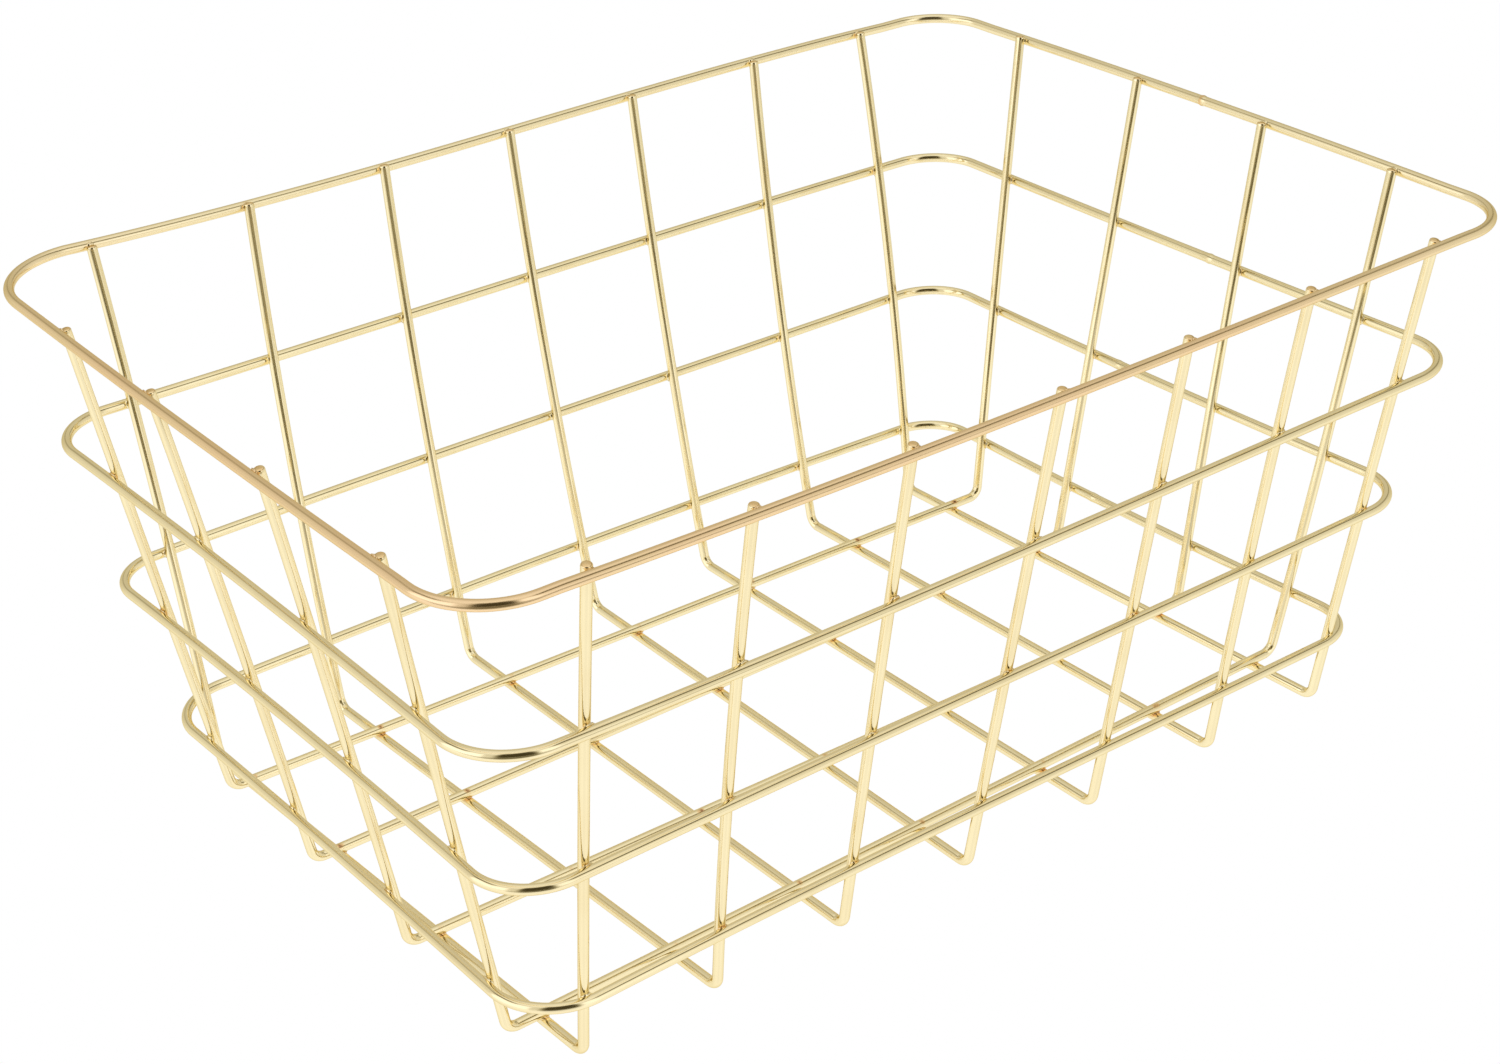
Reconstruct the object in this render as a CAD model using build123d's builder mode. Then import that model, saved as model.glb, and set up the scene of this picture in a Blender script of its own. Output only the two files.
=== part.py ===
"""A tapered wire locker basket: four closed rings and eleven U-shaped wires, spot-welded where they cross.

The basket stands on the surface z = 0 with its long sides along X. The seven cross wires run up the
front, over the floor and up the back; the four long wires lie on them and run up the two ends. Every
upright leans outwards and stands inside the rings, which are sized to lie against it.
"""

import os
from math import acos, atan2, cos, hypot, sin

from build123d import *

os.makedirs("parts", exist_ok=True)

# Wire across its flats, its many sides that stand in for round, and how far welded wires sink together
wire_diameter = 3.0
wire_sides = 12
weld_set_down = 0.30

# Outside of the rim
rim_length = 357.0
rim_width = 252.5

# Floor, between the corners that the uprights and the floor runs make on their centre lines
floor_length = 291.0
floor_width = 188.0

# Heights of the rings' centre lines, and how far the uprights' ends stand above the rim's
lower_ring_height = 22.2
ring_pitch = 45.7
tip_rise = 0.4

# Bends to the centre line, and the bevel round the uprights' cut ends
bend_radius = 7.5
end_bevel = 0.6

# Ring corners, to the centre line
lower_corner_radius = 17.0
middle_corner_radius = 18.0
upper_corner_radius = 19.5
rim_corner_radius = 21.5

# How much of the rim the outer wires' tips span, and of the floor their bends
cross_tips_span_share = 0.79
cross_bends_span_share = 0.97
long_tips_span_share = 0.61
long_bends_span_share = 0.82

# Where each wire stands, in spacings from the middle of the basket
front_tip_shares = (-3.01, -2.00, -0.97, 0.08, 1.02, 1.99, 3.04)
front_bend_shares = (-2.84, -1.92, -1.00, -0.03, 0.99, 1.99, 2.95)
back_bend_shares = (-2.95, -2.03, -1.01, 0.03, 0.99, 1.95, 2.84)
back_tip_shares = (-3.05, -1.98, -1.00, -0.04, 0.95, 1.99, 2.95)
left_tip_shares = (-1.70, -0.61, 0.51, 1.45)
left_bend_shares = (-1.49, -0.54, 0.46, 1.40)
right_bend_shares = (-1.37, -0.57, 0.54, 1.34)
right_tip_shares = (-1.54, -0.53, 0.52, 1.60)

# Spacings and heights that follow
cross_gaps = len(front_tip_shares) - 1
cross_tip_pitch = cross_tips_span_share * rim_length / cross_gaps
cross_bend_pitch = cross_bends_span_share * floor_length / cross_gaps
long_gaps = len(left_tip_shares) - 1
long_tip_pitch = long_tips_span_share * rim_width / long_gaps
long_bend_pitch = long_bends_span_share * floor_width / long_gaps
wire_radius = wire_diameter / 2
weld_spacing = wire_diameter - weld_set_down
cross_floor_height = wire_radius
long_floor_height = cross_floor_height + weld_spacing
ring_heights = [lower_ring_height + level * ring_pitch for level in range(4)]
rim_height = ring_heights[-1]
tip_height = rim_height + tip_rise


class Slope:
    """One pair of leaning sides: an upright that starts at the floor's corner and just meets the rim."""

    def __init__(self, rim_size, floor_size, floor_height):
        self.floor_half = floor_size / 2
        self.floor_height = floor_height
        run = rim_size / 2 - wire_radius - self.floor_half
        rise = rim_height - floor_height
        self.lean = acos(weld_spacing / hypot(run, rise)) - atan2(rise, run)

    def upright(self, height):
        """Distance of the upright's centre line from the middle of the basket at a height."""
        return self.floor_half + (height - self.floor_height) * sin(self.lean) / cos(self.lean)

    def ring(self, height):
        """Distance of the centre line of a ring that lies against the outside of the upright."""
        return self.upright(height) + weld_spacing / cos(self.lean)


long_sides = Slope(rim_width, floor_width, cross_floor_height)
ends = Slope(rim_length, floor_length, long_floor_height)


def wire_section():
    """Draws the wire's section, with flats towards the sketch's axes."""
    return RegularPolygon(wire_radius, wire_sides, major_radius=False, rotation=180 / wire_sides)


def bent_wire(side, corners):
    """A wire bent through its corners, with both cut ends bevelled; side lies along the basket's side."""
    with BuildPart() as wire:
        with BuildLine() as centre_line:
            FilletPolyline(*corners, radius=bend_radius)
        with BuildSketch(Plane(centre_line.line @ 0, x_dir=side, z_dir=centre_line.line % 0)):
            wire_section()
        sweep(path=centre_line.line)
        chamfer(wire.faces().group_by(Axis.Z)[-1].edges(), end_bevel)
    return wire.part


# Rings: a closed wire round the outside of the uprights
ring_names = ("lower_ring", "middle_ring", "upper_ring", "rim_ring")
corner_radii = (lower_corner_radius, middle_corner_radius, upper_corner_radius, rim_corner_radius)
rings = []
for name, height, corner_radius in zip(ring_names, ring_heights, corner_radii):
    with BuildSketch(Plane.XY.offset(height)) as outline:
        RectangleRounded(2 * ends.ring(height), 2 * long_sides.ring(height), corner_radius)
    centre_line = outline.sketch.faces()[0].outer_wire()
    with BuildPart() as ring:
        with BuildSketch(Plane(centre_line @ 0, x_dir=(0, 0, 1), z_dir=centre_line % 0)):
            wire_section()
        sweep(path=centre_line)
    ring.part.label = name
    export_step(ring.part, f"parts/{name}.step")
    rings.append(ring.part)

# Cross wires: front upright, floor run and back upright, notched where the rings sit against them
cross_wires = []
cross_places = zip(front_tip_shares, front_bend_shares, back_bend_shares, back_tip_shares)
for number, shares in enumerate(cross_places, start=1):
    front_tip, front_bend, back_bend, back_tip = shares
    corners = (
        (front_tip * cross_tip_pitch, -long_sides.upright(tip_height), tip_height),
        (front_bend * cross_bend_pitch, -long_sides.floor_half, cross_floor_height),
        (back_bend * cross_bend_pitch, long_sides.floor_half, cross_floor_height),
        (back_tip * cross_tip_pitch, long_sides.upright(tip_height), tip_height),
    )
    with BuildPart() as cross_wire:
        add(bent_wire((1, 0, 0), corners))
        add(rings, mode=Mode.SUBTRACT)
    cross_wire.part.label = f"cross_wire_{number}"
    export_step(cross_wire.part, f"parts/cross_wire_{number}.step")
    cross_wires.append(cross_wire.part)

# Long wires: left upright, floor run and right upright, notched by the rings and, below, by the cross wires
long_places = zip(left_tip_shares, left_bend_shares, right_bend_shares, right_tip_shares)
for number, shares in enumerate(long_places, start=1):
    left_tip, left_bend, right_bend, right_tip = shares
    corners = (
        (-ends.upright(tip_height), left_tip * long_tip_pitch, tip_height),
        (-ends.floor_half, left_bend * long_bend_pitch, long_floor_height),
        (ends.floor_half, right_bend * long_bend_pitch, long_floor_height),
        (ends.upright(tip_height), right_tip * long_tip_pitch, tip_height),
    )
    with BuildPart() as long_wire:
        add(bent_wire((0, 1, 0), corners))
        add(rings, mode=Mode.SUBTRACT)
        add(cross_wires, mode=Mode.SUBTRACT)
    long_wire.part.label = f"long_wire_{number}"
    export_step(long_wire.part, f"parts/long_wire_{number}.step")
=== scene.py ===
"""A champagne-gold wire locker basket: four closed rings and eleven bent wires, spot-welded together.

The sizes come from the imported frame. Every wire is a round tube carried along its own line, with the
small bows, heat marks, bending dents and cut ends that the CAD wires leave out, and a bead of squeezed
metal sits at each weld.
"""

from math import radians

import bpy
import numpy as np
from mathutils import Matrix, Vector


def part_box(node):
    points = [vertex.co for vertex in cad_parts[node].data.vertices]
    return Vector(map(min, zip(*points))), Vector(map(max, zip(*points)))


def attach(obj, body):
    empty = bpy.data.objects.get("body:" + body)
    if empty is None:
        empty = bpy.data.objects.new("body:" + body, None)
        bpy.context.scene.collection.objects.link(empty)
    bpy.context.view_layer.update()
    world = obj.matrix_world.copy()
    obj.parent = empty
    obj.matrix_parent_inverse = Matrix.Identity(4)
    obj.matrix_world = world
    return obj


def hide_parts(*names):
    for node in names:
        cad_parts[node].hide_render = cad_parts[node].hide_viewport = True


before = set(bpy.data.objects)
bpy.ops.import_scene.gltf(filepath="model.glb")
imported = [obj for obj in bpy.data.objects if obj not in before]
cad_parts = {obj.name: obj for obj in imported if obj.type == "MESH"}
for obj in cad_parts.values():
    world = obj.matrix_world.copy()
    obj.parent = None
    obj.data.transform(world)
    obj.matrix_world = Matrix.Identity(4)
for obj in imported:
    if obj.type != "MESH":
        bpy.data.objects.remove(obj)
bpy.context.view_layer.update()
chance = np.random.default_rng(11)

mm = 0.001

# Read from the frame: ring sizes and heights, the wire, and how far apart welded wires' centres lie
ring_nodes = ("lower_ring", "middle_ring", "upper_ring", "rim_ring")
ring_boxes = np.array([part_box(node) for node in ring_nodes])
wire_radius = (ring_boxes[3, 1, 2] - ring_boxes[3, 0, 2]) / 2
ring_heights = ring_boxes[:, :, 2].mean(axis=1)
ring_halves = ring_boxes[:, 1, :2] - wire_radius
rim_height = ring_heights[3]
rim_sizes = 2 * ring_boxes[3, 1, :2]
weld_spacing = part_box("long_wire_2")[0][2]

# Lean of the ends and of the long sides, and where the uprights' lines start at the floor
spread = (ring_halves[3] - ring_halves[0]) / (rim_height - ring_heights[0])
upright_at_rim = ring_halves[3] - weld_spacing * np.sqrt(1 + spread**2)
cross_floor_height = wire_radius
long_floor_height = wire_radius + weld_spacing
floor_halves = upright_at_rim - spread * (rim_height - np.array([long_floor_height, cross_floor_height]))

# Bends to the centre line, tighter than in the CAD
bend_radius = 4.0 * mm

# Ring corners to the centre line, lower ring first, from back right round to front right
corner_radii = mm * np.array([(15.5, 19, 19, 16), (17, 16, 17.5, 17.5),
                              (17.5, 19.5, 19.5, 19), (19, 26.5, 21.5, 20.5)])

# How much of the rim the outer wires' tips span, and of the floor their bends, as in the CAD
cross_tips_span_share = 0.79
cross_bends_span_share = 0.97
long_tips_span_share = 0.61
long_bends_span_share = 0.82
cross_gaps = 6
long_gaps = 3
cross_tip_pitch = cross_tips_span_share * rim_sizes[0] / cross_gaps
cross_bend_pitch = cross_bends_span_share * 2 * floor_halves[0] / cross_gaps
long_tip_pitch = long_tips_span_share * rim_sizes[1] / long_gaps
long_bend_pitch = long_bends_span_share * 2 * floor_halves[1] / long_gaps

# Where each wire stands, in spacings from the middle of the basket
front_tip_shares = (-3.01, -2.00, -0.965, 0.08, 1.025, 1.995, 3.04)
front_bend_shares = (-2.84, -1.92, -1.00, -0.04, 0.98, 2.00, 2.95)
back_bend_shares = (-2.95, -2.03, -1.01, 0.03, 0.99, 1.95, 2.85)
back_tip_shares = (-3.05, -1.98, -1.00, -0.04, 0.95, 1.99, 2.95)
left_tip_shares = (-1.70, -0.61, 0.50, 1.44)
left_bend_shares = (-1.49, -0.54, 0.46, 1.40)
right_bend_shares = (-1.37, -0.57, 0.54, 1.34)
right_tip_shares = (-1.54, -0.53, 0.52, 1.60)

# How far each upright's cut end stands above the rim's even height, in millimetres
front_rises = (1.5, 0.2, 0.0, -0.6, 0.3, 1.0, 1.5)
back_rises = (1.9, 1.6, 1.7, 1.7, 1.8, 1.7, 1.4)
left_rises = (0.8, 1.2, 1.1, 1.9)
right_rises = (1.5, 1.7, 1.9, 1.9)

# The cut end: depths from its face, and the share of the wire's radius there
cut_depths = np.array([0.0, 0.03, 0.09, 0.18, 0.32, 0.52, 0.8]) * mm
cut_shares = np.array([0.0, 0.45, 0.68, 0.82, 0.92, 0.98, 1.0])

# How far each ring's right, back, left and front side bows upwards, in millimetres, lower ring first
ring_bows = ((-1.0, 0.3, 0.9, 1.0), (-0.8, -0.3, 1.5, 0.2), (-0.3, 0.0, 1.2, -1.1), (0.8, -0.6, -0.8, -1.4))

# How much more the right half of each ring's back and front side bows than its left half, in millimetres
ring_skews = ((-0.3, -1.0), (-0.9, -0.5), (0.6, 1.0), (3.2, 0.7))

# How far each ring's corners are raised, in millimetres, from back right round to front right
ring_lifts = ((-0.6, -0.3, 0.0, 2.3), (0.5, -0.9, -0.4, 2.8), (-0.7, -0.2, -0.8, 0.9), (-0.5, 1.8, -0.3, 0.2))

# How far each upright bows sideways, in millimetres
front_bows = (-0.4, -1.5, -0.2, 0.1, 0.2, -0.8, -0.4)
back_bows = (0.6, -1.5, -1.4, -1.5, -1.2, -1.8, 2.0)
left_bows = (0.9, -0.5, -1.1, 1.1)
right_bows = (-0.9, 0.3, -0.3, 0.3)

# How far the foot of the back stands out in the middle, and turns from right to left, in millimetres
back_bulge = 1.1
back_bulge_half_length = 90.0 * mm
back_turn = 0.5
back_turn_half_length = 135.0 * mm

# How far a side's line may stray from its even place and still count as that side
side_margin = 2 * mm

# Butt welds on the right end, as shares of each ring's half width, with their ridge and heat mark
seam_shares = (0.17, 0.15, -0.12, 0.0)
ridge_height = 0.16
ridge_half_length = 0.6 * mm
ridge_burn = 0.5

# Metal squeezed out at the welds: its reach along both wires and through them, and how uneven it is
bead_reach = np.array([1.95, 1.75, 0.85]) * mm
ring_bead_share = 0.88
rim_bead_share = 0.66
floor_bead_share = 0.74
bead_stretch = 0.10
bead_unevenness = 0.12
bead_least_size = 0.82
bead_greatest_size = 1.2

# Heat marks: weakest and strongest at the rings, on the floor and in the scorched specks, and their reach
ring_burn_range = (0.2, 0.6)
floor_burn_range = (0.4, 0.85)
speck_burn_range = (0.3, 1.5)
burn_reach = 1.7 * mm
speck_reach = 0.75 * mm
ring_bead_burn_share = 0.4
floor_bead_burn_share = 0.6

# Browned edge of a cut end, and the dents that the bending tool left
cut_burn_strength = 0.32
cut_burn_reach = 0.6 * mm
dent_depth = 0.05 * mm
dent_spacing = 1.5 * mm

# Mesh density: sides of a tube, step along a run, steps in an arc, sides and rows of a bead
tube_sides = 28
run_step = 1.2 * mm
arc_steps = 28
bead_sides = 12
bead_rows = 5


def unit(vectors):
    """Each vector divided by its length."""
    return vectors / np.linalg.norm(vectors, axis=-1, keepdims=True)


def run_points(start, end):
    """Evenly spaced points from start towards end, which is left out."""
    count = max(2, int(np.linalg.norm(end - start) / run_step))
    share = np.linspace(0, 1, count, endpoint=False)[:, None]
    return start + share * (end - start)


def arc_points(before, corner, after, radius):
    """The arc that touches both runs at a corner: its centre, plus the first spoke turned into the last."""
    back = unit(before - corner)
    ahead = unit(after - corner)
    half_angle = np.arccos(back @ ahead) / 2
    centre = corner + unit(back + ahead) * radius / np.sin(half_angle)
    reach = radius / np.tan(half_angle)
    first = corner + back * reach - centre
    last = corner + ahead * reach - centre
    turn = np.pi - 2 * half_angle
    share = np.linspace(0, 1, arc_steps)[:, None]
    return centre + (np.sin((1 - share) * turn) * first + np.sin(share * turn) * last) / np.sin(turn)


def end_points(start, towards_point):
    """Closely spaced points from a cut end inwards, as deep as the rounded face goes."""
    return start + cut_depths[:, None] * unit(towards_point - start)


def bent_line(corners):
    """Centre line of a U-shaped wire: three runs joined by two arcs, with close points at both ends."""
    corners = np.array(corners, float)
    first_arc = arc_points(corners[0], corners[1], corners[2], bend_radius)
    second_arc = arc_points(corners[1], corners[2], corners[3], bend_radius)
    first_end = end_points(corners[0], corners[1])
    first_run = run_points(corners[0], first_arc[0])[1:]
    floor_run = run_points(first_arc[-1], second_arc[0])
    last_run = run_points(corners[3], second_arc[-1])[:0:-1]
    last_end = end_points(corners[3], corners[2])[::-1]
    return np.concatenate([first_end, first_run, first_arc[:-1], floor_run, second_arc, last_run, last_end])


def ring_bow(level, x, y):
    """How far a ring stands above its even height: each side's bow, and for front and back its skew times
    the share along the side too, times one minus the square of that share, plus each corner's lift times
    the nearness to that corner."""
    half_x, half_y = ring_halves[level]
    corner = corner_radii[level].max()
    right, back, left, front = ring_bows[level]
    back_skew, front_skew = ring_skews[level]
    share_x = np.clip(1 - (x / (half_x - corner)) ** 2, 0, 1)
    share_y = np.clip(1 - (y / (half_y - corner)) ** 2, 0, 1)
    along_x = np.where(y > 0, back + back_skew * x / half_x, front + front_skew * x / half_x)
    bow = share_y * np.where(x > 0, right, left) + share_x * along_x
    for lift, side_x, side_y in zip(ring_lifts[level], (1, -1, -1, 1), (1, 1, -1, -1)):
        bow = bow + lift * (1 + side_x * x / half_x) * (1 + side_y * y / half_y) / 4
    return mm * bow


def back_out(x, z):
    """How far the back stands out at a place: the bulge and the turn at its foot, fading out at the rim."""
    foot = back_bulge * (1 - (x / back_bulge_half_length) ** 2) - back_turn * x / back_turn_half_length
    return mm * foot * np.clip((rim_height - z) / (rim_height - cross_floor_height), 0, 1)


def ring_line(level):
    """Centre line of a ring: a rectangle with rounded corners, closed, with its sides bowed in height."""
    half_x, half_y = ring_halves[level]
    height = ring_heights[level]
    corners = np.array([(half_x, half_y), (-half_x, half_y), (-half_x, -half_y), (half_x, -half_y)])
    corners = np.column_stack([corners, np.full(4, height)])
    arcs = []
    for number, radius in enumerate(corner_radii[level]):
        arcs.append(arc_points(corners[number - 1], corners[number], corners[(number + 1) % 4], radius))
    parts = []
    for number in range(4):
        parts.append(arcs[number][:-1])
        parts.append(run_points(arcs[number][-1], arcs[(number + 1) % 4][0]))
    line = np.concatenate(parts)
    line[:, 2] += ring_bow(level, line[:, 0], line[:, 1])
    line[:, 1] += back_out(line[:, 0], height) * np.clip(line[:, 1] / half_y, 0, 1) ** 2
    return line


def tube(name, line, reference, radii, closed, row_burn):
    """A round tube along a line: point + radius (cos a * u + sin a * v), where v is the line's direction
    crossed with the reference, u is v crossed with the direction, and a goes once round. An open tube ends
    in one point at each end."""
    if closed:
        ahead = unit(np.roll(line, -1, axis=0) - np.roll(line, 1, axis=0))
    else:
        ahead = unit(np.gradient(line, axis=0))
    across = unit(np.cross(ahead, reference))
    up = np.cross(across, ahead)
    angle = np.linspace(0, 2 * np.pi, tube_sides, endpoint=False)
    spokes = np.cos(angle)[:, None] * up[:, None] + np.sin(angle)[:, None] * across[:, None]
    points = line[:, None] + radii[:, :, None] * spokes
    steps = np.linalg.norm(np.diff(line, axis=0, append=line[:1]), axis=1)
    along = np.concatenate([[0], np.cumsum(steps)])
    if not closed:
        points = points[1:-1]
        along = along[1:-1]
    rows = len(points)
    row = np.arange(rows if closed else rows - 1)[:, None]
    side = np.arange(tube_sides)[None, :]
    this_row = row * tube_sides
    next_row = (row + 1) % rows * tube_sides
    next_side = (side + 1) % tube_sides
    quads = np.stack([this_row + side, this_row + next_side, next_row + next_side, next_row + side], axis=-1)
    quads = quads.reshape(-1, 4)
    first = along[row + 0 * side]
    second = along[row + 1 + 0 * side]
    length_uv = np.stack([first, first, second, second], axis=-1)
    round_uv = np.stack([side + 0 * row, side + 1 + 0 * row, side + 1 + 0 * row, side + 0 * row], axis=-1)
    uvs = np.stack([length_uv, round_uv / tube_sides], axis=-1).reshape(-1, 2)
    points = points.reshape(-1, 3)
    if closed:
        triangles = np.zeros((0, 3), int)
        own_burn = np.repeat(row_burn, tube_sides)
    else:
        tip = rows * tube_sides
        last = tip - tube_sides
        side = side[0]
        next_side = next_side[0]
        start_fan = np.stack([tip + 0 * side, next_side, side], axis=-1)
        end_fan = np.stack([tip + 1 + 0 * side, last + side, last + next_side], axis=-1)
        triangles = np.concatenate([start_fan, end_fan])
        points = np.concatenate([points, line[:1], line[-1:]])
        own_burn = np.concatenate([np.repeat(row_burn[1:-1], tube_sides), row_burn[:1], row_burn[-1:]])
        fan_share = np.repeat(((side + 0.5) / tube_sides)[:, None], 3, axis=1)
        start_uv = np.stack([np.full((tube_sides, 3), along[0]), fan_share], axis=-1)
        end_uv = start_uv + np.array([along[rows - 1] - along[0], 0])
        uvs = np.concatenate([uvs, start_uv.reshape(-1, 2), end_uv.reshape(-1, 2)])
    burn = np.maximum(burn_from(points), own_burn)
    return mesh_object(name, points, quads, triangles, uvs, burn)


def burn_from(points):
    """Heat at points: the largest, over all marks, of the strength times a bell curve of the distance."""
    distance = np.linalg.norm(points[:, None] - mark_points[None], axis=-1)
    return (mark_burns * np.exp(-((distance / mark_reaches) ** 2))).max(axis=1)


def mesh_object(name, points, quads, triangles, uvs, burn):
    """A smooth mesh from points, faces, a UV pair for each face corner and a heat value for each point."""
    mesh = bpy.data.meshes.new(name)
    mesh.from_pydata(points.tolist(), [], quads.tolist() + triangles.tolist())
    mesh.polygons.foreach_set("use_smooth", np.ones(len(mesh.polygons), bool))
    mesh.uv_layers.new(name="UVMap").data.foreach_set("uv", uvs.ravel())
    mesh.attributes.new("burn", "FLOAT", "POINT").data.foreach_set("value", burn.astype(np.float32))
    mesh.update()
    piece = bpy.data.objects.new(name, mesh)
    bpy.context.scene.collection.objects.link(piece)
    return piece


def lengths_along(line):
    """Length along a line from its start to each of its points."""
    steps = np.linalg.norm(np.diff(line, axis=0), axis=1)
    return np.concatenate([[0], np.cumsum(steps)])


def bent_radii(line):
    """Radius round and along a bent wire: rounded cut ends, and on the inside of a bend the tool's dents, a
    squared cosine of the length along it times the bend's sharpness."""
    along = lengths_along(line)
    from_end = np.minimum(along, along[-1] - along)
    radii = wire_radius * np.interp(from_end, cut_depths, cut_shares)
    ahead = unit(np.gradient(line, axis=0))
    turning = np.linalg.norm(np.gradient(ahead, axis=0), axis=1) / np.gradient(along)
    sharpness = np.clip(turning * bend_radius, 0, 1)
    angle = np.linspace(0, 2 * np.pi, tube_sides, endpoint=False)
    inside = np.clip(-np.sin(angle), 0, 1) ** 2
    dents = dent_depth * sharpness * np.cos(np.pi * along / dent_spacing) ** 2
    return radii[:, None] - dents[:, None] * inside[None, :]


def cut_burn(line):
    """The slightly browned edge of a cut end: a bell curve of the length from the end."""
    along = lengths_along(line)
    from_end = np.minimum(along, along[-1] - along)
    return cut_burn_strength * np.exp(-((from_end / cut_burn_reach) ** 2))


def beads(name, centres, frames, burns, share):
    """Squeezed metal at many welds at once. Each bead is a closed blob: a sphere's point with its reach round
    the middle stretched towards the four gaps between the wires by 1 + stretch * (1 - cos 4a) / 2, made a
    little uneven, then laid in the weld's own frame: along one wire, along the other, and through both."""
    tilt = np.linspace(0, np.pi, bead_rows + 2)[1:-1, None]
    turn = np.linspace(0, 2 * np.pi, bead_sides, endpoint=False)[None, :]
    reach = 1 + bead_stretch * (1 - np.cos(4 * turn)) / 2
    along_first = np.sin(tilt) * np.cos(turn) * reach
    along_second = np.sin(tilt) * np.sin(turn) * reach
    blob = np.stack([along_first, along_second, np.cos(tilt) + 0 * turn], axis=-1).reshape(-1, 3)
    blob = np.concatenate([blob, [(0, 0, 1), (0, 0, -1)]])
    sizes = share * bead_reach * chance.uniform(bead_least_size, bead_greatest_size, (len(centres), 1, 3))
    lumps = chance.uniform(1 - bead_unevenness, 1 + bead_unevenness, (len(centres), len(blob), 1))
    points = centres[:, None] + np.einsum("nvk,nkc->nvc", blob * sizes * lumps, frames)
    row = np.arange(bead_rows - 1)[:, None] * bead_sides
    side = np.arange(bead_sides)[None, :]
    next_row = row + bead_sides
    next_side = (side + 1) % bead_sides
    quads = np.stack([row + side, next_row + side, next_row + next_side, row + next_side], axis=-1)
    quads = quads.reshape(-1, 4)
    top = bead_rows * bead_sides
    last = top - bead_sides
    side = side[0]
    next_side = next_side[0]
    top_fan = np.stack([top + 0 * side, side, next_side], axis=-1)
    bottom_fan = np.stack([last + side, top + 1 + 0 * side, last + next_side], axis=-1)
    triangles = np.concatenate([top_fan, bottom_fan])
    shift = np.arange(len(centres))[:, None, None] * len(blob)
    all_quads = (quads[None] + shift).reshape(-1, 4)
    all_triangles = (triangles[None] + shift).reshape(-1, 3)
    corners = np.concatenate([all_quads.ravel(), all_triangles.ravel()])
    flat = np.tile(np.column_stack([np.arctan2(blob[:, 1], blob[:, 0]), blob[:, 2]]), (len(centres), 1))
    uvs = flat[corners] * 2 * mm
    burn = np.repeat(burns, len(blob))
    return mesh_object(name, points.reshape(-1, 3), all_quads, all_triangles, uvs, burn)


# Node helpers
def lay(tree, socket, value):
    """Links an output to a socket, or sets it to a plain value."""
    if isinstance(value, bpy.types.NodeSocket):
        tree.links.new(value, socket)
    else:
        socket.default_value = value


def calc(tree, operation, *values):
    """One Math node."""
    node = tree.nodes.new("ShaderNodeMath")
    node.operation = operation
    for socket, value in zip(node.inputs, values):
        lay(tree, socket, value)
    return node.outputs[0]


def towards(tree, vector, direction):
    """How far a vector points along a direction."""
    node = tree.nodes.new("ShaderNodeVectorMath")
    node.operation = "DOT_PRODUCT"
    lay(tree, node.inputs[0], vector)
    lay(tree, node.inputs[1], direction)
    return node.outputs["Value"]


def fade(tree, value, start, end, low=0.0, high=1.0):
    """Runs smoothly from low to high while value goes from start to end."""
    node = tree.nodes.new("ShaderNodeMapRange")
    node.interpolation_type = "SMOOTHSTEP"
    numbers = (("Value", value), ("From Min", start), ("From Max", end), ("To Min", low), ("To Max", high))
    for name, number in numbers:
        lay(tree, node.inputs[name], number)
    return node.outputs[0]


def blend(tree, share, first, second):
    """Mixes two colours."""
    node = tree.nodes.new("ShaderNodeMix")
    node.data_type = "RGBA"
    for socket, value in ((node.inputs[0], share), (node.inputs[6], first), (node.inputs[7], second)):
        lay(tree, socket, (*value, 1) if isinstance(value, tuple) else value)
    return node.outputs[2]


def noise(tree, place, scale, detail):
    """Smooth noise from 0 to 1."""
    node = tree.nodes.new("ShaderNodeTexNoise")
    lay(tree, node.inputs["Vector"], place)
    node.inputs["Scale"].default_value = scale
    node.inputs["Detail"].default_value = detail
    return node.outputs["Fac"]


def level_direction(azimuth):
    """Level direction at an azimuth in degrees from +X towards +Y."""
    return (np.cos(radians(azimuth)), np.sin(radians(azimuth)), 0)


towards_camera = level_direction(-127)
towards_room = level_direction(-118)
to_the_right = level_direction(-37)

# Plating: colours of the clouds and of three stages of heat, and the tint at grazing angles
cloud_colour = (0.90, 0.74, 0.42)
straw_colour = (0.88, 0.56, 0.24)
brown_colour = (0.42, 0.20, 0.09)
scorched_colour = (0.07, 0.045, 0.04)
grazing_tint = (0.80, 0.72, 0.50, 1)

# Plating: scales of its patterns, and the depth of the drawing lines
line_scale = 4.0
line_squeeze = 6.0
cloud_scale = 60.0
pit_scale = 900.0
ragged_scale = 700.0
blister_scale = 600.0
relief_depth = 0.0008 * mm

# Plating: how much the drawing lines, heat and pits dull it
line_dulling = 0.07
heat_dulling = 0.22
pit_dulling = 0.02


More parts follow.
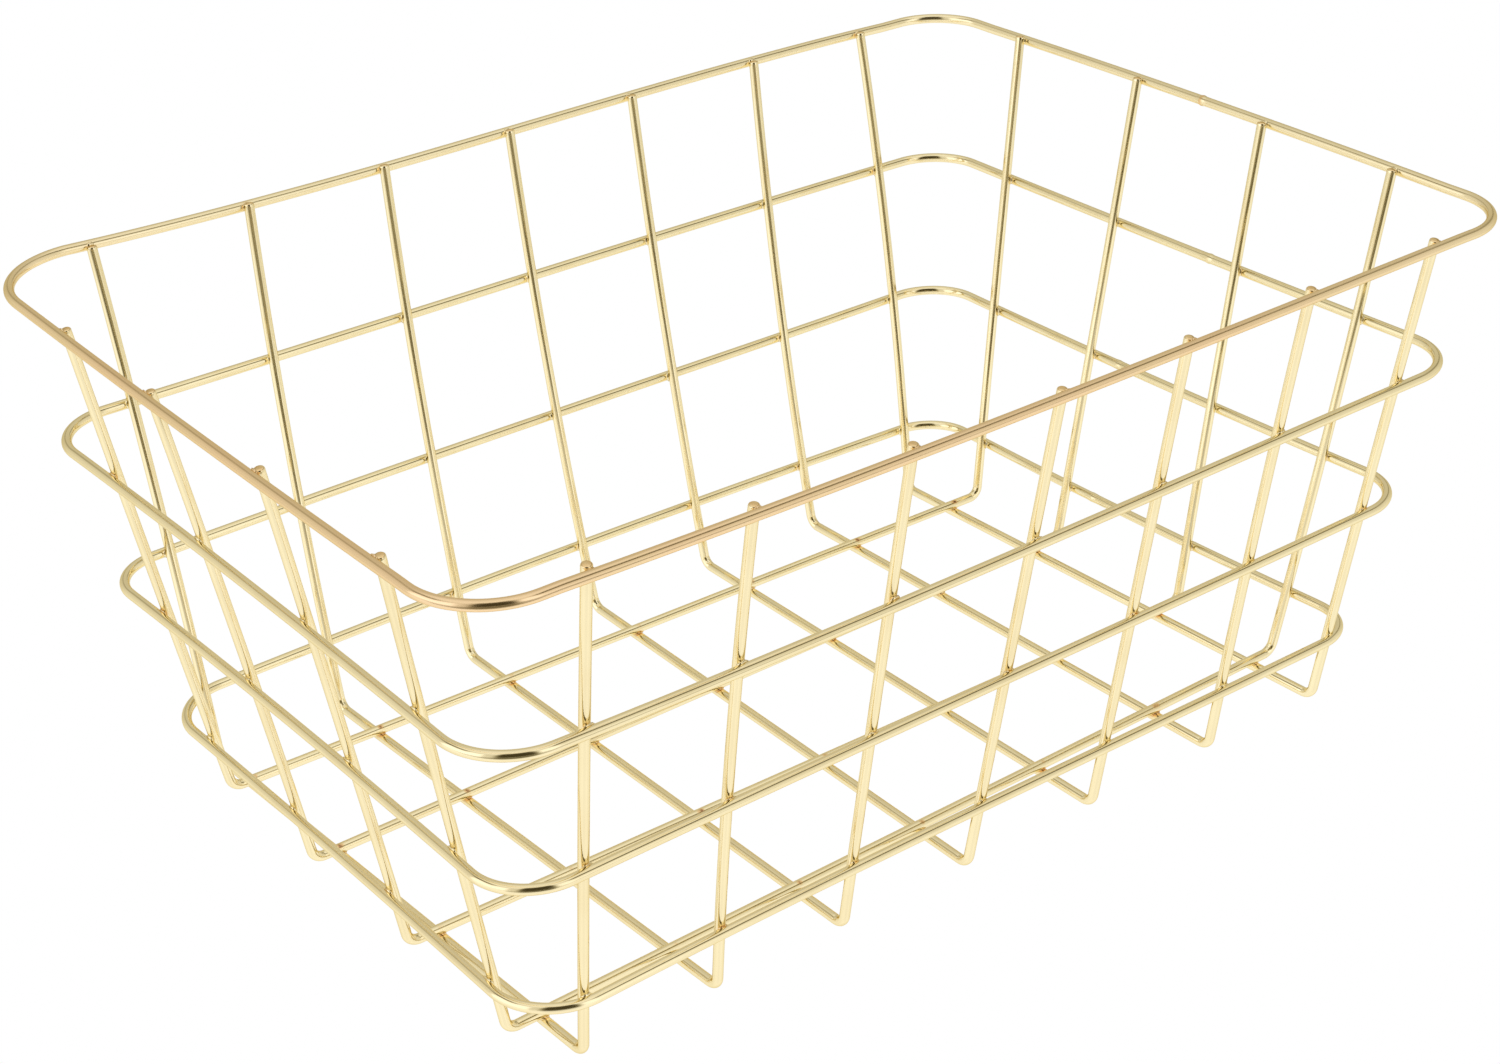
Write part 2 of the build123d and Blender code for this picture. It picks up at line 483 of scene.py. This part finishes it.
def plating(name, far_colour, painted_warm_light_colour, roughness):
    """Thin gold-coloured plating on drawn wire: cloudy colour, with painted warm light that turns it warmer
    towards the front left, fine drawing lines along the wire, pits, and orange to black-brown heat marks by
    the welds."""
    material = bpy.data.materials.new(name)
    material.use_nodes = True
    tree = material.node_tree
    shader = tree.nodes["Principled BSDF"]
    coordinates = tree.nodes.new("ShaderNodeTexCoord")
    place = coordinates.outputs["Object"]
    split = tree.nodes.new("ShaderNodeSeparateXYZ")
    lay(tree, split.inputs[0], coordinates.outputs["UV"])
    turn = calc(tree, "MULTIPLY", split.outputs["Y"], 2 * np.pi)
    round_place = tree.nodes.new("ShaderNodeCombineXYZ")
    lay(tree, round_place.inputs[0], calc(tree, "COSINE", turn))
    lay(tree, round_place.inputs[1], calc(tree, "SINE", turn))
    lay(tree, round_place.inputs[2], calc(tree, "MULTIPLY", split.outputs["X"], line_squeeze))
    drawn = noise(tree, round_place.outputs[0], line_scale, 2.0)
    clouds = noise(tree, place, cloud_scale, 2.0)
    pits = fade(tree, noise(tree, place, pit_scale, 1.0), 0.68, 0.76)
    heat = tree.nodes.new("ShaderNodeAttribute")
    heat.attribute_name = "burn"
    ragged = calc(tree, "MULTIPLY_ADD", noise(tree, place, ragged_scale, 2.0), 1.2, 0.45)
    burnt = calc(tree, "MULTIPLY", heat.outputs["Fac"], ragged)

    # Painted warm light: the side towards the camera, the front left, gets the warmer second colour
    painted_warm_light_share = fade(tree, towards(tree, place, towards_camera), -0.05, 0.08)
    colour = blend(tree, painted_warm_light_share, far_colour, painted_warm_light_colour)
    colour = blend(tree, fade(tree, clouds, 0.35, 0.75, 0.0, 0.35), colour, cloud_colour)
    colour = blend(tree, fade(tree, burnt, 0.10, 0.40, 0.0, 0.75), colour, straw_colour)
    colour = blend(tree, fade(tree, burnt, 0.40, 0.75, 0.0, 0.85), colour, brown_colour)
    colour = blend(tree, fade(tree, burnt, 0.75, 1.05, 0.0, 0.9), colour, scorched_colour)
    lay(tree, shader.inputs["Base Color"], colour)
    line_roughness = fade(tree, drawn, 0.35, 0.7, roughness, roughness + line_dulling)
    dull = calc(tree, "ADD", line_roughness, calc(tree, "MULTIPLY", burnt, heat_dulling))
    lay(tree, shader.inputs["Roughness"], calc(tree, "ADD", dull, calc(tree, "MULTIPLY", pits, pit_dulling)))
    shader.inputs["Metallic"].default_value = 1
    shader.inputs["Specular Tint"].default_value = grazing_tint
    blisters = calc(tree, "MULTIPLY", burnt, noise(tree, place, blister_scale, 1.0))
    bump = tree.nodes.new("ShaderNodeBump")
    bump.inputs["Strength"].default_value = 1.0
    bump.inputs["Distance"].default_value = relief_depth
    lay(tree, bump.inputs["Height"], calc(tree, "ADD", drawn, blisters))
    lay(tree, shader.inputs["Normal"], bump.outputs[0])
    return material


# The second colour of each finish is painted warm light on the front left; on the rim it is also darker and
# more copper
wire_gold = plating("champagne_plating", (0.98, 0.86, 0.54), (0.98, 0.85, 0.53), 0.09)
rim_gold = plating("warm_plating", (0.97, 0.84, 0.53), (0.95, 0.70, 0.415), 0.14)


def place_piece(piece, node, material):
    """Puts the finish on a piece, and lets it stand for its node if it has one."""
    piece.data.materials.append(material)
    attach(piece, "root")
    if node:
        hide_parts(node)


def bowed_line(tips, feet, along_axis, side_axis, foot_height, rises, bows):
    """A bent wire's line: both tips and both bends, then its uprights bowed sideways by 4 s (1 - s) at the
    share s of their height. The first of each pair is on the side where the coordinate is negative."""
    corners = np.zeros((4, 3))
    tip_heights = rim_height + mm * np.array(rises)
    tip_outs = upright_at_rim[along_axis] + spread[along_axis] * (tip_heights - rim_height)
    corners[[0, 3], along_axis] = tip_outs * (-1, 1)
    corners[[1, 2], along_axis] = floor_halves[along_axis] * np.array((-1, 1))
    corners[[0, 3], side_axis] = tips
    corners[[1, 2], side_axis] = feet
    corners[[0, 3], 2] = tip_heights
    corners[[1, 2], 2] = foot_height
    line = bent_line(corners)
    share = np.clip((line[:, 2] - foot_height) / (rim_height - foot_height), 0, 1)
    bow = np.where(line[:, along_axis] > 0, bows[1], bows[0])
    line[:, side_axis] += mm * bow * 4 * share * (1 - share)
    if along_axis == 1:
        line[:, 1] += back_out(line[:, 0], line[:, 2]) * np.clip(line[:, 1] / floor_halves[1], 0, 1) ** 2
    return line


def ring_welds(lines, along_axis, side_axis):
    """Touching points of uprights and rings, one row for each upright and in it one point for each ring, with
    their frames: along the ring, along the upright and outwards."""
    points = []
    frames = []
    lean = np.arctan(spread[along_axis])
    for line in lines:
        for sign in (-1, 1):
            half = line[line[:, along_axis] * sign > floor_halves[along_axis] - side_margin]
            half = half[np.argsort(half[:, 2])]
            places = np.zeros((4, 3))
            places[:, along_axis] = sign * ring_halves[:, along_axis]
            places[:, side_axis] = np.interp(ring_heights, half[:, 2], half[:, side_axis])
            bow = [ring_bow(level, places[level, 0], places[level, 1]) for level in range(4)]
            places[:, 2] = ring_heights + np.array(bow)
            places[:, 1] += np.where(places[:, 1] > 0, back_out(places[:, 0], ring_heights), 0) * along_axis
            outwards = np.zeros(3)
            outwards[along_axis] = sign * np.cos(lean)
            outwards[2] = -np.sin(lean)
            along_ring = np.zeros(3)
            along_ring[side_axis] = 1
            points.append(places - outwards * weld_spacing / 2)
            frames.append(np.array([along_ring, np.cross(outwards, along_ring), outwards]))
    return np.array(points), np.array(frames)


# Centre lines of all wires
ring_lines = [ring_line(level) for level in range(4)]
cross_tips = cross_tip_pitch * np.column_stack([front_tip_shares, back_tip_shares])
cross_feet = cross_bend_pitch * np.column_stack([front_bend_shares, back_bend_shares])
cross_rises = zip(front_rises, back_rises)
cross_bows = zip(front_bows, back_bows)
cross_lines = []
for tips, feet, rises, bows in zip(cross_tips, cross_feet, cross_rises, cross_bows):
    cross_lines.append(bowed_line(tips, feet, 1, 0, cross_floor_height, rises, bows))
long_tips = long_tip_pitch * np.column_stack([left_tip_shares, right_tip_shares])
long_feet = long_bend_pitch * np.column_stack([left_bend_shares, right_bend_shares])
long_rises = zip(left_rises, right_rises)
long_bows = zip(left_bows, right_bows)
long_lines = []
for tips, feet, rises, bows in zip(long_tips, long_feet, long_rises, long_bows):
    long_lines.append(bowed_line(tips, feet, 0, 1, long_floor_height, rises, bows))

# Welds where uprights meet rings
front_back_points, front_back_frames = ring_welds(cross_lines, 1, 0)
left_right_points, left_right_frames = ring_welds(long_lines, 0, 1)
ring_weld_points = np.concatenate([front_back_points, left_right_points])
ring_weld_frames = np.concatenate([front_back_frames, left_right_frames])

# Welds where long wires lie on cross wires
cross_middle = cross_feet.mean(axis=1)[:, None]
cross_slant = (cross_feet[:, 1] - cross_feet[:, 0])[:, None] / (2 * floor_halves[1])
long_middle = long_feet.mean(axis=1)[None, :]
long_slant = (long_feet[:, 1] - long_feet[:, 0])[None, :] / (2 * floor_halves[0])
crossing_x = (cross_middle + cross_slant * long_middle) / (1 - cross_slant * long_slant)
crossing_y = long_middle + long_slant * crossing_x
crossing_z = np.full(crossing_x.shape, cross_floor_height + weld_spacing / 2)
floor_weld_points = np.stack([crossing_x, crossing_y, crossing_z], axis=-1).reshape(-1, 3)
floor_weld_frames = np.tile(np.eye(3), (len(floor_weld_points), 1, 1))

# Heat marks at all welds, and scorched specks on top of the long wires where they cross
ring_burns = chance.uniform(*ring_burn_range, ring_weld_points.shape[:2])
floor_burns = chance.uniform(*floor_burn_range, len(floor_weld_points))
speck_burns = chance.uniform(*speck_burn_range, len(floor_weld_points))
speck_shift = (-0.2 * mm, -0.45 * wire_radius, weld_spacing / 2 + 0.88 * wire_radius)
speck_points = floor_weld_points + speck_shift
mark_points = np.concatenate([ring_weld_points.reshape(-1, 3), floor_weld_points, speck_points])
mark_burns = np.concatenate([ring_burns.ravel(), floor_burns, speck_burns])
mark_reaches = np.full(len(mark_points), burn_reach)
mark_reaches[-len(speck_points):] = speck_reach

# Rings
for level, node in enumerate(ring_nodes):
    line = ring_lines[level]
    seam = seam_shares[level] * ring_halves[level, 1]
    on_right = line[:, 0] > ring_halves[level, 0] - side_margin
    ridge = np.where(on_right, np.exp(-(((line[:, 1] - seam) / ridge_half_length) ** 2)), 0)
    radii = np.repeat(wire_radius * (1 + ridge_height * ridge)[:, None], tube_sides, axis=1)
    is_rim = node == "rim_ring"
    finish = rim_gold if is_rim else wire_gold
    bead_share = rim_bead_share if is_rim else ring_bead_share
    piece = tube(node + "_wire", line, (0, 0, 1), radii, True, ridge_burn * ridge**3)
    place_piece(piece, node, finish)
    bead_burns = ring_bead_burn_share * ring_burns[:, level]
    piece = beads(node + "_welds", ring_weld_points[:, level], ring_weld_frames, bead_burns, bead_share)
    place_piece(piece, None, finish)

# Bent wires
for number, line in enumerate(cross_lines, start=1):
    piece = tube(f"cross_wire_{number}_bent", line, (1, 0, 0), bent_radii(line), False, cut_burn(line))
    place_piece(piece, f"cross_wire_{number}", wire_gold)
for number, line in enumerate(long_lines, start=1):
    piece = tube(f"long_wire_{number}_bent", line, (0, -1, 0), bent_radii(line), False, cut_burn(line))
    place_piece(piece, f"long_wire_{number}", wire_gold)

# Metal squeezed out on the floor
bead_burns = floor_bead_burn_share * floor_burns
piece = beads("floor_welds", floor_weld_points, floor_weld_frames, bead_burns, floor_bead_share)
place_piece(piece, None, wire_gold)

# Studio floor: its glow, and how much of it is taken off as painted shade far out and towards the room behind
# the camera
floor_radius = 1.2
floor_drop = 0.1 * mm
floor_light = 1.04
far_loss = 0.20
room_loss = 0.70
varnish_index = 1.5
varnish_strength = 1.5
varnish_roughness = 0.1

# Studio tent: light of its far and near wall, what is left of it higher up, and the roof's extra light
far_wall_light = 0.70
near_wall_light = 0.82
high_wall_share = 0.90
roof_light = 0.2

# Dark gaps beside the roof: angle from overhead, half widths without and with the soft edge, and depths
gap_angle = 0.80
gap_dark_half = 0.05
gap_soft_half = 0.20
right_gap_depth = 0.50
far_left_gap_depth = 0.34
left_gap_depth = 0.80

# Light boxes: azimuth in degrees, share of the direction where each starts, and strength
light_boxes = ((170, 0.85, 0.5), (-79, 0.93, 0.4))
box_edge = 0.06

# How dark the room behind the camera is below and above the horizon
low_room_depth = 0.72
high_room_depth = 0.92


def warm_grey(tree, brightness):
    """White that turns warmer as it gets darker."""
    node = tree.nodes.new("ShaderNodeCombineColor")
    lay(tree, node.inputs[0], brightness)
    lay(tree, node.inputs[1], calc(tree, "POWER", brightness, 1.07))
    lay(tree, node.inputs[2], calc(tree, "POWER", brightness, 1.32))
    return node.outputs[0]


# Floor: a pale glowing surface under glossy varnish, with painted shade far out and towards the room, plain
# white where the camera sees it
bpy.ops.mesh.primitive_circle_add(vertices=128, radius=floor_radius, fill_type="NGON",
                                  location=(0, 0, -floor_drop))
floor = bpy.context.object
floor.name = "studio_floor"
floor_paint = bpy.data.materials.new("pale_floor")
floor_paint.use_nodes = True
tree = floor_paint.node_tree
gloss = tree.nodes["Principled BSDF"]
place_on_floor = tree.nodes.new("ShaderNodeTexCoord").outputs["Object"]
# Painted shade: the floor's glow is dimmed far out and, past a line, towards the room behind the camera
painted_far_shade = fade(tree, towards(tree, place_on_floor, place_on_floor), 0.08, 0.7, 0.0, far_loss)
painted_room_shade = fade(tree, towards(tree, place_on_floor, towards_room), 0.32, 0.38, 0.0, room_loss)
shine = calc(tree, "SUBTRACT", calc(tree, "SUBTRACT", floor_light, painted_far_shade), painted_room_shade)
gloss.inputs["Metallic"].default_value = 1
gloss.inputs["Base Color"].default_value = (1, 1, 1, 1)
gloss.inputs["Roughness"].default_value = varnish_roughness
# Painted light: the floor gives off its own glow instead of being lit
floor_glow = tree.nodes.new("ShaderNodeEmission")
lay(tree, floor_glow.inputs["Color"], warm_grey(tree, shine))
varnish = tree.nodes.new("ShaderNodeFresnel")
varnish.inputs["IOR"].default_value = varnish_index
varnish_share = calc(tree, "MINIMUM", calc(tree, "MULTIPLY", varnish.outputs[0], varnish_strength), 1.0)
varnished = tree.nodes.new("ShaderNodeMixShader")
lay(tree, varnished.inputs[0], varnish_share)
lay(tree, varnished.inputs[1], floor_glow.outputs[0])
lay(tree, varnished.inputs[2], gloss.outputs[0])
plain_white = tree.nodes.new("ShaderNodeEmission")
switch = tree.nodes.new("ShaderNodeMixShader")
lay(tree, switch.inputs[0], tree.nodes.new("ShaderNodeLightPath").outputs["Is Camera Ray"])
lay(tree, switch.inputs[1], varnished.outputs[0])
lay(tree, switch.inputs[2], plain_white.outputs[0])
lay(tree, tree.nodes["Material Output"].inputs["Surface"], switch.outputs[0])
floor.data.materials.append(floor_paint)

# Tent: wall and roof
world = bpy.data.worlds.new("studio")
bpy.context.scene.world = world
world.use_nodes = True
tree = world.node_tree
ray = tree.nodes.new("ShaderNodeTexCoord").outputs["Generated"]
height = towards(tree, ray, (0, 0, 1))
level_part = calc(tree, "SQRT", calc(tree, "SUBTRACT", 1.0, calc(tree, "POWER", height, 2.0)))
camera_share = calc(tree, "DIVIDE", towards(tree, ray, towards_camera), level_part)
right_part = towards(tree, ray, to_the_right)
sideways = calc(tree, "ABSOLUTE", calc(tree, "ARCTAN2", right_part, height))
wall_light = fade(tree, camera_share, -0.9, -0.3, far_wall_light, near_wall_light)
wall = calc(tree, "MULTIPLY", wall_light, fade(tree, height, 0.02, 0.40, 1.0, high_wall_share))
roof = fade(tree, height, 0.70, 0.90, 0.0, roof_light)
shell = calc(tree, "ADD", wall, roof)

# Tent: a dark gap on each side of the roof, not towards the camera and not low down
on_the_right = calc(tree, "GREATER_THAN", right_part, 0.0)
left_depth = fade(tree, camera_share, -0.45, -0.15, far_left_gap_depth, left_gap_depth)
gap_depth = calc(tree, "MAXIMUM", left_depth, calc(tree, "MULTIPLY", on_the_right, right_gap_depth))
from_gap = calc(tree, "ABSOLUTE", calc(tree, "SUBTRACT", sideways, gap_angle))
gap = fade(tree, from_gap, gap_dark_half, gap_soft_half, gap_depth, 0.0)
gap = calc(tree, "MULTIPLY", gap, fade(tree, height, 0.1, 0.3))
gap = calc(tree, "MULTIPLY", gap, fade(tree, camera_share, 0.60, 0.35))
shell = calc(tree, "MULTIPLY", shell, calc(tree, "SUBTRACT", 1.0, gap))

# Tent: two light boxes
for azimuth, start, strength in light_boxes:
    box_share = calc(tree, "DIVIDE", towards(tree, ray, level_direction(azimuth)), level_part)
    box = fade(tree, box_share, start, start + box_edge, 0.0, strength)
    box = calc(tree, "MULTIPLY", box, fade(tree, height, -0.10, 0.05))
    shell = calc(tree, "ADD", shell, calc(tree, "MULTIPLY", box, fade(tree, height, 0.75, 0.6)))

# Tent: the open side with the dark room, and full light from below
room_share = calc(tree, "DIVIDE", towards(tree, ray, towards_room), level_part)
low_room = fade(tree, room_share, 0.68, 0.93, 0.0, low_room_depth)
low_room = calc(tree, "MULTIPLY", low_room, fade(tree, height, 0.05, -0.02))
high_room = fade(tree, room_share, 0.84, 0.94, 0.0, high_room_depth)
high_room = calc(tree, "MULTIPLY", high_room, fade(tree, height, -0.02, 0.05))
high_room = calc(tree, "MULTIPLY", high_room, fade(tree, height, 0.97, 0.85))
room = calc(tree, "MAXIMUM", low_room, high_room)
shell = calc(tree, "MULTIPLY", shell, calc(tree, "SUBTRACT", 1.0, room))
shell = calc(tree, "MAXIMUM", shell, fade(tree, height, -0.3, -0.5))
straight = tree.nodes.new("ShaderNodeLightPath").outputs["Is Camera Ray"]
tent_colour = blend(tree, straight, warm_grey(tree, shell), (1.0, 1.0, 1.0))
lay(tree, tree.nodes["Background"].inputs["Color"], tent_colour)

# Camera, fitted to the photograph
camera_data = bpy.data.cameras.new("camera")
camera_data.sensor_width = 36
camera_data.lens = 68.61
camera_data.clip_start = 0.01
camera = bpy.data.objects.new("camera", camera_data)
camera.location = (-0.44606, -0.59374, 0.46922)
camera.rotation_euler = (radians(61.6646), radians(1.6146), radians(-37.4876))
bpy.context.scene.collection.objects.link(camera)
bpy.context.scene.camera = camera
bpy.context.scene.view_settings.view_transform = "Standard"
